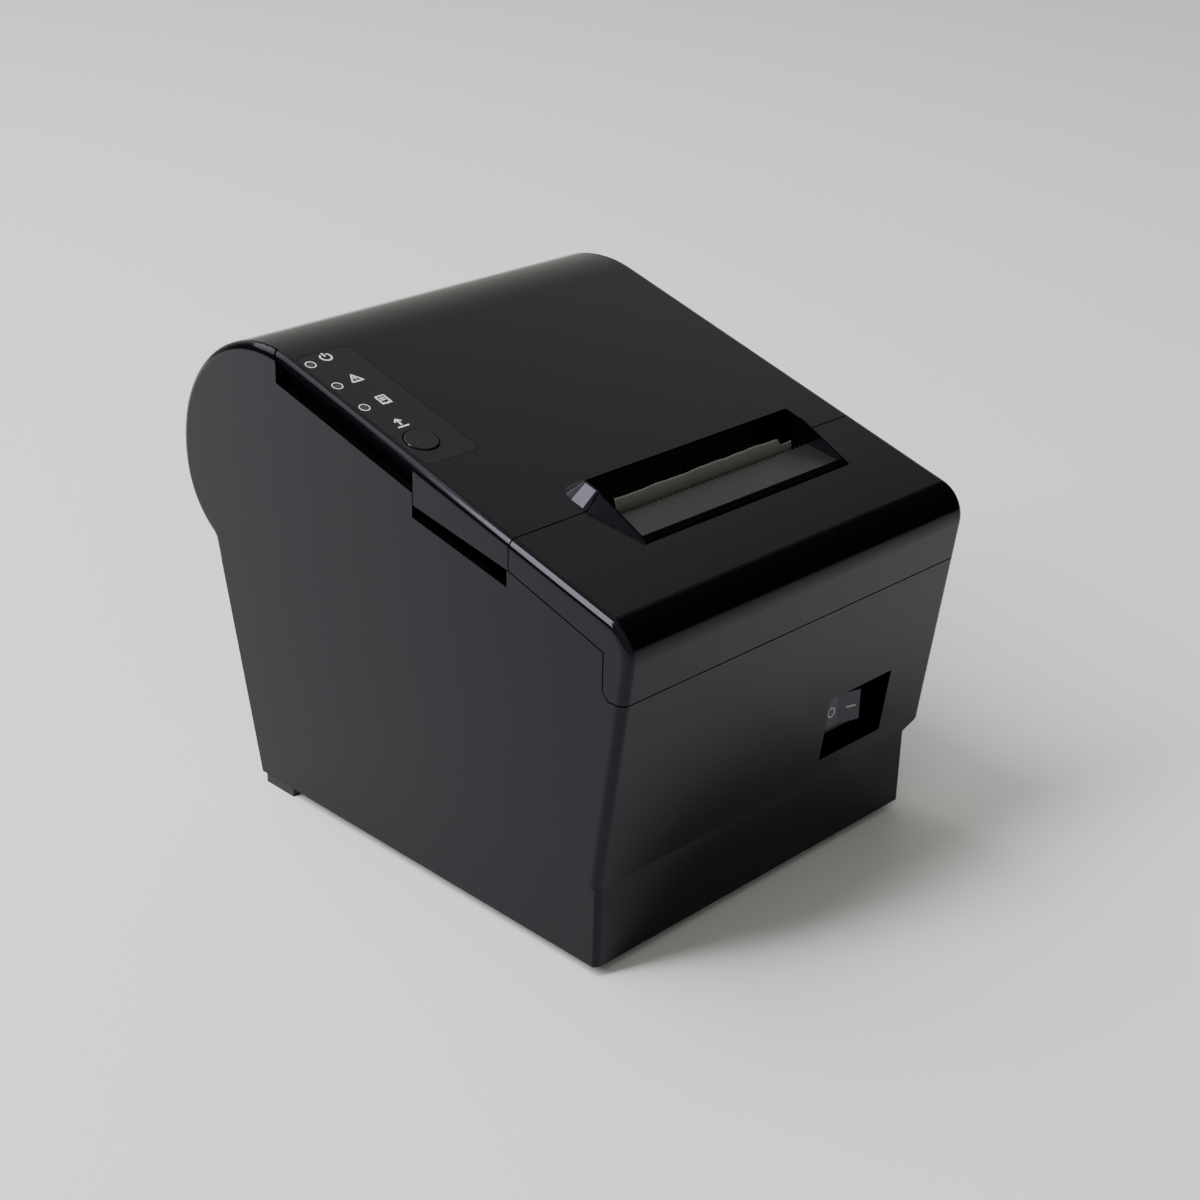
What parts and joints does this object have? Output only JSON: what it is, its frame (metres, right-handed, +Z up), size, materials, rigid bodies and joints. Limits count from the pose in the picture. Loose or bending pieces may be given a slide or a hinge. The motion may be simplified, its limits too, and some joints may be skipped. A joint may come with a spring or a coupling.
{
  "type": "receipt printer",
  "caption": "Black desktop thermal receipt printer with sloping top, rear-hinged lid over a drop-in roll, sliding cutter cover, control panel, feed button and front rocker switch.",
  "frame": {"origin": "middle of the overall footprint, on the surface that the rubber feet stand on", "axes": "+Z up, the front with the power switch faces -Y, +X to the right seen from the front"},
  "size_m": [0.145, 0.1939, 0.1491],
  "materials": {
    "gloss_black": "polished black ABS",
    "matte_black": "black moulded plastic",
    "panel_satin": "satin black film overlay",
    "button_black": "gloss black key cap",
    "rocker_black": "black rocker",
    "switch_black": "black switch body",
    "tear_plastic": "dark grey satin plastic",
    "rubber_black": "soft black rubber",
    "platen_rubber": "ground platen rubber",
    "thermal_paper": "smooth white thermal paper",
    "core_board": "wound paperboard",
    "zinc_steel": "zinc plated sheet steel",
    "bright_steel": "ground steel",
    "spring_steel": "spring steel strip",
    "motor_steel": "plated motor can",
    "blade_steel": "hardened blade steel",
    "brass_plain": "machined brass",
    "nylon_white": "natural acetal",
    "head_ceramic": "glazed ceramic strip",
    "sink_aluminium": "plain aluminium",
    "board_green": "green solder mask",
    "component_black": "moulded components",
    "socket_black": "black socket",
    "socket_grey": "dark grey socket",
    "socket_metal": "tinned shell",
    "light_pipe": "smoked light pipe"
  },
  "bodies": {
    "case": {"housing": "gloss_black", "base_plate": "matte_black", "base_screws": "zinc_steel", "board_screws": "zinc_steel", "motor_screws": "zinc_steel", "rubber_feet": "rubber_black", "paper_web": "thermal_paper", "receipt_end": "thermal_paper", "paper_well": "matte_black", "mechanism_frame": "zinc_steel", "head_pivot": "bright_steel", "head_springs": "spring_steel", "feed_motor": "motor_steel", "lid_catches": "spring_steel", "cutter_base": "zinc_steel", "cutter_gear_pin": "bright_steel", "cutter_motor": "motor_steel", "switch_body": "switch_black", "rocker_pin": "bright_steel", "main_board": "board_green", "board_components": "component_black", "power_socket": "socket_black", "drawer_socket": "socket_grey", "usb_socket": "socket_metal", "network_socket": "socket_metal", "paper_sensor": "component_black", "hinge_pins": "bright_steel"},
    "lid": {"top_cover": "gloss_black", "control_panel": "panel_satin", "status_lights": "light_pipe", "panel_board": "board_green", "platen_bracket": "zinc_steel", "fixed_blade": "blade_steel", "platen_bushes": "nylon_white"},
    "cutter_cover": {"front_cover": "gloss_black", "tear_bar": "tear_plastic"},
    "platen": {"platen_roller": "platen_rubber", "platen_shaft": "bright_steel", "platen_gear": "nylon_white"},
    "idler": {"idler_gear": "nylon_white"},
    "pinion": {"motor_pinion": "brass_plain", "motor_shaft": "bright_steel"},
    "roll": {"paper_roll": "thermal_paper", "roll_core": "core_board"},
    "print_head": {"thermal_head": "head_ceramic", "head_heat_sink": "sink_aluminium"},
    "button": {"feed_button": "button_black"},
    "rocker": {"power_rocker": "rocker_black"},
    "blade": {"moving_blade": "blade_steel"},
    "cutter_wheel": {"cutter_gear": "nylon_white"},
    "cutter_drive": {"cutter_drive_pinion": "brass_plain"}
  },
  "joints": [
    {"name": "lid_hinge", "type": "hinge", "parent": "case", "child": "lid", "pos_m": [0, 0.0907, 0.0994], "axis": [-1, 0, 0], "range_deg": [0, 70]},
    {"name": "cutter_cover_slide", "type": "slide", "parent": "case", "child": "cutter_cover", "axis": [0, -1, 0], "range_m": [0, 0.014]},
    {"name": "roll_turn", "type": "hinge", "parent": "case", "child": "roll", "pos_m": [0.005, 0.03, 0.0785], "axis": [-1, 0, 0], "continuous": true},
    {"name": "platen_turn", "type": "hinge", "parent": "lid", "child": "platen", "pos_m": [0.005, -0.0435, 0.103], "axis": [-1, 0, 0], "continuous": true},
    {"name": "idler_turn", "type": "hinge", "parent": "case", "child": "idler", "pos_m": [-0.049, -0.049, 0.0882], "axis": [-1, 0, 0], "continuous": true},
    {"name": "motor_turn", "type": "hinge", "parent": "case", "child": "pinion", "pos_m": [-0.049, -0.053, 0.07575], "axis": [-1, 0, 0], "continuous": true},
    {"name": "head_pivot_turn", "type": "hinge", "parent": "case", "child": "print_head", "pos_m": [0.005, -0.0536, 0.0936], "axis": [1, 0, 0], "range_deg": [0, 3], "stiffness_Nm_per_rad": 2, "springref_deg": -2.86},
    {"name": "feed_button_press", "type": "slide", "parent": "lid", "child": "button", "axis": [0, 0.2607, -0.9654], "range_m": [0, 0.0008], "stiffness_N_per_m": 400, "springref_m": -0.001},
    {"name": "power_rocker_tilt", "type": "hinge", "parent": "case", "child": "rocker", "pos_m": [0.0352, -0.0805, 0.0448], "axis": [0, 0, 1], "range_deg": [0, 16]},
    {"name": "blade_slide", "type": "slide", "parent": "case", "child": "blade", "axis": [0, 1, 0], "range_m": [0, 0.007]},
    {"name": "cutter_wheel_turn", "type": "hinge", "parent": "case", "child": "cutter_wheel", "pos_m": [0.0506, -0.07, 0.105], "axis": [0, 0, -1], "range_deg": [0, 103]},
    {"name": "cutter_drive_turn", "type": "hinge", "parent": "case", "child": "cutter_drive", "pos_m": [0.0582, -0.06011, 0.103], "axis": [0, 0, 1], "range_deg": [0, 289]}
  ],
  "couplings": [
    {"joint": "platen_turn", "follows": "roll_turn", "ratio": 6.0873},
    {"joint": "idler_turn", "follows": "roll_turn", "ratio": -4.3481},
    {"joint": "motor_turn", "follows": "roll_turn", "ratio": 10.146},
    {"joint": "cutter_wheel_turn", "follows": "blade_slide", "rad_per_m": 256.41},
    {"joint": "cutter_drive_turn", "follows": "blade_slide", "rad_per_m": 717.95}
  ]
}
